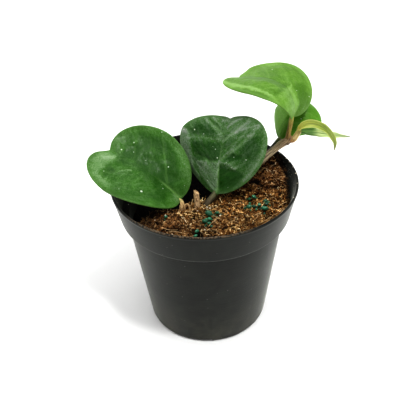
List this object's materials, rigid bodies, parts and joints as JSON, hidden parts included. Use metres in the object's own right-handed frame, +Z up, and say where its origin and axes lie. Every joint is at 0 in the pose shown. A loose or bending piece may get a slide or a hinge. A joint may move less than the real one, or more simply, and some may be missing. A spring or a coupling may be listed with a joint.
{
  "type": "potted hoya plant",
  "caption": "Small potted hoya with notched oval leaves, a young leafy shoot and a dry cut stub in a coir-filled nursery pot.",
  "frame": {"origin": "centre of the flat underside of the pot", "axes": "+Z up along the pot axis; -Y is the front of the plant, with the grown leaves to the left and middle and the young shoot reaching to +X"},
  "size_m": [0.124, 0.09, 0.1252],
  "materials": {
    "pot_plastic": "satin black injection-moulded polypropylene",
    "coir": "rough dry coir fibre and peat, matt",
    "stem_bark": "grey-brown young bark, fine lengthwise lines",
    "dry_stalk": "dry straw-brown cut stalk, matt",
    "leaf_left": "waxy dark green leaf, semi-gloss",
    "leaf_middle": "waxy deep green leaf, semi-gloss, faint pale veins",
    "leaf_young": "young yellow-green leaf, soft sheen",
    "leaf_back": "bright green leaf, soft sheen",
    "shoot": "orange-pink shoot base turning yellow-green",
    "tip_leaf": "yellow-green folded young leaf",
    "tip_leaf_pale": "pale translucent folded young leaf",
    "granule": "dark teal-green coated fertiliser granule"
  },
  "bodies": {
    "root": {"pot": "pot_plastic", "growing_medium": "coir", "vine_stem": "stem_bark", "dry_stub": "dry_stalk", "leaf_left": "leaf_left", "leaf_middle": "leaf_middle", "leaf_upper": "leaf_young", "leaf_back": "leaf_back", "shoot_tip": "shoot", "tip_leaf_front": "tip_leaf", "tip_leaf_back": "tip_leaf_pale", "granule_01": "granule", "granule_02": "granule", "granule_03": "granule", "granule_04": "granule", "granule_05": "granule", "granule_06": "granule", "granule_07": "granule", "granule_08": "granule", "granule_09": "granule", "granule_10": "granule", "granule_11": "granule", "granule_12": "granule", "granule_13": "granule", "granule_14": "granule", "granule_15": "granule", "granule_16": "granule"}
  },
  "joints": []
}
